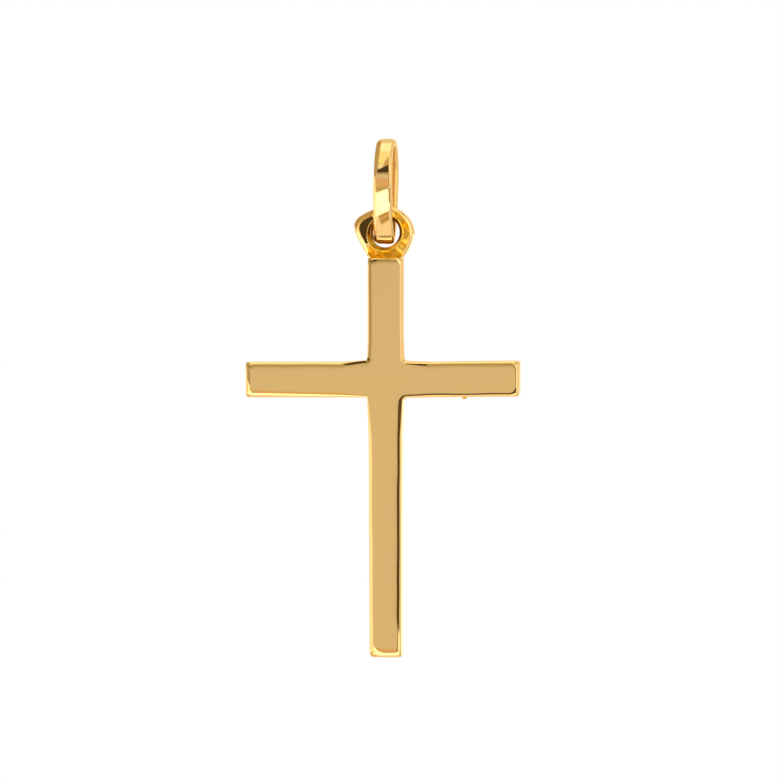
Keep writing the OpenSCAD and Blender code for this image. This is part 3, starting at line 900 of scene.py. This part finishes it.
# %% The tent and its cards
TENT = 1.05
CARDS = [
    # name, azimuth from and to, elevation of the lower and of the upper edge, softness, light
    ("high behind right", (100, 181), 12, 63, 4, (0.85, 0.84, 0.76)),
    ("high behind left", (-181, -100), 12, 63, 4, (0.85, 0.84, 0.76)),
    ("low at the back", (-184, -120), -62, -8, 16, (0.78, 0.75, 0.68)),
    ("low at the right", (62, 184), -62, -8, 10, (0.76, 0.74, 0.68)),
    ("right", (80, 140), -10, 44, 16, (0.82, 0.80, 0.74)),
    ("behind right", (158, 184), -0.3, 10, 2, (0.95, 0.82, 0.52)),
    ("low behind right", (158, 184), -6, -0.3, 2, (1.6, 1.6, 1.6)),
    ("front", (-75, 75), 22, 68, 5, (1.02, 1.10, 0.75)),
    ("ceiling", (-184, 184), 66, 100, 6, (1.35, 1.35, 1.35)),
    ("far left", (-110, -70), -40, 6, 4, (1.28, 1.28, 1.22)),
    ("left, lowest", (-120, -58), -62, -33, 5, (0.80, 0.64, 0.45)),
    ("upper left", (-150, -38), 5, 66, 4, (0.52, 0.44, 0.28)),
    ("upper right", (25, 75), 33, 58, 5, (0.45, 0.44, 0.38)),
    ("left", (-72, -50), -14, 24, 4, (0.50, 0.44, 0.30)),
    ("left, low", (-72, -45), -36, -16, 4, (1.6, 1.6, 1.5)),
    ("left strip", (-50, -33), -30, 30, 3, (1.5, 1.5, 1.5)),
    ("left flag", (-33, -16), -8, 30, 3, (0.46, 0.44, 0.38)),
    ("grey card", (-17.5, 4), -16, 12, 3, (0.73, 0.73, 0.72)),
    ("grey card, high", (-17.5, 4), 1, 12, 3, (0.67, 0.67, 0.66)),
    ("grey card, low", (-24, 4), -20, -3, 3, (0.74, 0.57, 0.39)),
    ("right flag", (-1, 10), -22, 8, 4, (0.42, 0.40, 0.34)),
    ("right strip", (11, 42), -12, 30, 3, (1.6, 1.6, 1.6)),
    ("brown card", (-11.2, 0), 16, 47, 2, (0.62, 0.47, 0.28)),
    ("lens, left", (-34, -13), 6.3, (25, 13), 2.5, (0.11, 0.085, 0.04)),
    ("lens", (-14, 0), 6.3, (13, 37), 2, (0.07, 0.055, 0.03)),
    ("lens ring", (-34, 0), 3.4, 6.3, 1.4, (0.50, 0.46, 0.34)),
    ("beside the lens", (-5, 6), 4.5, 13, 2, (0.55, 0.50, 0.36)),
    ("low line", (-16, 4), -22, -15.5, 2, (0.50, 0.48, 0.27)),
    ("low strip, left", (-50, -16), -42, (-3, -22.5), 3, (2.0, 2.0, 2.0)),
    ("low strip", (-16, -5), (-42, -36), (-22.5, -16), 2, (2.2, 2.2, 2.2)),
    ("low strip, right", (-5, 22), -36, -16, 3, (2.2, 2.2, 2.2)),
    ("table", (-60, 60), -66, -44, 3, (1.0, 0.95, 0.87)),
    ("low corner", (-66, -41), -62, -34, 3, (0.80, 0.58, 0.36)),
    ("low flag", (-18, -4), (-50, -42), (-42, -36), 2, (0.50, 0.36, 0.17)),
    ("low gap", (-18, -4), (-46.5, -39.5), (-44.5, -37.5), 1.5, (0.70, 0.55, 0.30)),
    ("table edge", (-40, 40), -73, -67, 3, (0.42, 0.34, 0.20)),
    ("below", (-90, 90), -100, -74, 3, (1.4, 1.35, 1.1)),
]
print("tent with", len(CARDS), "cards")

# %% [markdown]
# Each card is a product of four soft steps, one for each edge, and mixes its light over what was
# there before. The steps are Map Range nodes, and a slanting edge takes a line in azimuth off the
# elevation first. The directions come from the world's own Generated coordinates.

# %% Azimuth and elevation as nodes
world = bpy.data.worlds.new("tent")
bpy.context.scene.world = world
world.use_nodes = True
tree = world.node_tree
link = tree.links.new
background = tree.nodes["Background"]
direction = add(tree, "TexCoord")
split = add(tree, "SeparateXYZ")
ahead = add(tree, "Math", operation="MULTIPLY", _1=-1.0)
azimuth = add(tree, "Math", operation="ARCTAN2")
elevation = add(tree, "Math", operation="ARCSINE")
join(
    tree,
    (direction, "Generated", split, 0),
    (split, "Y", ahead, 0),
    (split, "X", azimuth, 0),
    (ahead, 0, azimuth, 1),
    (split, "Z", elevation, 0),
)


# %% Soft steps and their product
def ramp(value, low, soft, falling=False):
    """A soft step at an angle: 0 to 1 as the value passes it, or 1 to 0."""
    ends = (1.0, 0.0) if falling else (0.0, 1.0)
    node = add(
        tree, "MapRange", interpolation_type="SMOOTHSTEP",
        _1=math.radians(low - soft / 2), _2=math.radians(low + soft / 2), _3=ends[0], _4=ends[1],
    )
    link(value, node.inputs[0])
    return node.outputs[0]


def product(first, *others):
    """The values multiplied together."""
    for other in others:
        node = add(tree, "Math", operation="MULTIPLY")
        link(first, node.inputs[0])
        link(other, node.inputs[1])
        first = node.outputs[0]
    return first


def edge_at(value, ends, heights, soft, falling=False):
    """A soft step at an elevation, or at a line that slants between its heights at both ends."""
    if not isinstance(heights, tuple):
        return ramp(value, heights, soft, falling)
    slant = (heights[1] - heights[0]) / (ends[1] - ends[0])
    start = math.radians(slant * ends[0])
    rise = add(tree, "Math", operation="MULTIPLY_ADD", _1=-slant, _2=start)
    level = add(tree, "Math", operation="ADD")
    join(tree, (azimuth, 0, rise, 0), (rise, 0, level, 0))
    link(value, level.inputs[1])
    return ramp(level.outputs[0], heights[0], soft, falling)


# %% The cards laid over each other, and white for the camera
seen = None
for name, ends, low, high, soft, light in CARDS:
    over = product(
        ramp(azimuth.outputs[0], ends[0], soft),
        ramp(azimuth.outputs[0], ends[1], soft, True),
        edge_at(elevation.outputs[0], ends, low, soft),
        edge_at(elevation.outputs[0], ends, high, soft, True),
    )
    card = add(
        tree, "Mix", data_type="RGBA", label=name, _6=(TENT, TENT, TENT, 1), _7=(*light, 1),
    )
    link(over, card.inputs[0])
    if seen is not None:
        link(seen, card.inputs[6])
    seen = card.outputs[2]
plain = add(tree, "Mix", data_type="RGBA", _7=(1, 1, 1, 1))
rays = add(tree, "LightPath")
link(rays.outputs["Is Camera Ray"], plain.inputs[0])
link(seen, plain.inputs[6])
link(plain.outputs[2], background.inputs["Color"])
print("world with", len(tree.nodes), "nodes")

# %% [markdown]
# Flag and floor
#
# One dark flag stands close, low and to the right. Because it is close, only the right arm's
# underside and the right edge of the lower part mirror it. The floor is a pale disc below, small
# enough to stay out of the picture. Neither belongs to the object, and the gold doesn't mirror the
# floor, so that it looks as clear from below as in the tent.


# %% A dark flag and a pale floor
def flat_card(name, corners, colour):
    """A flat stage piece in one matt colour, with its corners in millimetres."""
    mesh = bpy.data.meshes.new(name)
    mesh.from_pydata((np.array(corners, float) * MM).tolist(), [], [list(range(len(corners)))])
    material = bpy.data.materials.new(name)
    material.use_nodes = True
    shader = material.node_tree.nodes["Principled BSDF"]
    shader.inputs["Base Color"].default_value = (*colour, 1)
    shader.inputs["Roughness"].default_value = 0.9
    mesh.materials.append(material)
    card = bpy.data.objects.new(name, mesh)
    bpy.context.scene.collection.objects.link(card)
    return card


FLAG_LEFT, FLAG_RIGHT, FLAG_TOP, FLAG_Y = -4.4, 25, -14.2, -40.5
FLAG_LOW_LEFT, FLAG_LOW_RIGHT = -27.2, -28.2
flag_corners = [
    (FLAG_LEFT, FLAG_Y, FLAG_LOW_LEFT), (FLAG_RIGHT, FLAG_Y, FLAG_LOW_RIGHT),
    (FLAG_RIGHT, FLAG_Y, FLAG_TOP), (FLAG_LEFT, FLAG_Y, FLAG_TOP),
]
flag = flat_card("dark_flag", flag_corners, (0.12, 0.09, 0.04))
flag.visible_camera = False
FLOOR_RADIUS, FLOOR_Z = 140, -45
turn = np.linspace(0, 2 * np.pi, 97)[:-1]
floor_edge = [FLOOR_RADIUS * np.cos(turn), FLOOR_RADIUS * np.sin(turn), 0 * turn + FLOOR_Z]
floor_disc = flat_card("floor", np.stack(floor_edge, -1), (0.86, 0.86, 0.86))
floor_disc.visible_glossy = False
print("stage pieces:", flag.name, "and", floor_disc.name)

# %% [markdown]
# Camera
#
# A small shiny thing is best taken from far off with a long lens, which keeps its edges parallel.
# The view is a little from the right: the right walls of the bars show and the left ones don't.
# With bars 1 mm thick, 7.5 degrees gives the width that those walls have.

# %% The camera
VIEW_FROM, DISTANCE = math.radians(7.5), 450.0
FRAME = 43.01                       # width of the picture at the pendant
AIM_RIGHT, AIM_Z = 0.30, -13.46     # what stands in the middle of the picture
aim = np.array([AIM_RIGHT * math.cos(VIEW_FROM), AIM_RIGHT * math.sin(VIEW_FROM), AIM_Z])
stand = aim + DISTANCE * np.array([math.sin(VIEW_FROM), -math.cos(VIEW_FROM), 0])
lens = bpy.data.cameras.new("camera")
lens.sensor_width = 36
lens.lens = lens.sensor_width * DISTANCE / FRAME
lens.clip_start, lens.clip_end = 0.01, 10
camera = bpy.data.objects.new("camera", lens)
camera.location = stand * MM
camera.rotation_euler = (math.pi / 2, 0, VIEW_FROM)
bpy.context.scene.collection.objects.link(camera)
bpy.context.scene.camera = camera
bpy.context.scene.view_settings.view_transform = "Standard"
print("camera", camera.location[:], "lens", round(lens.lens))
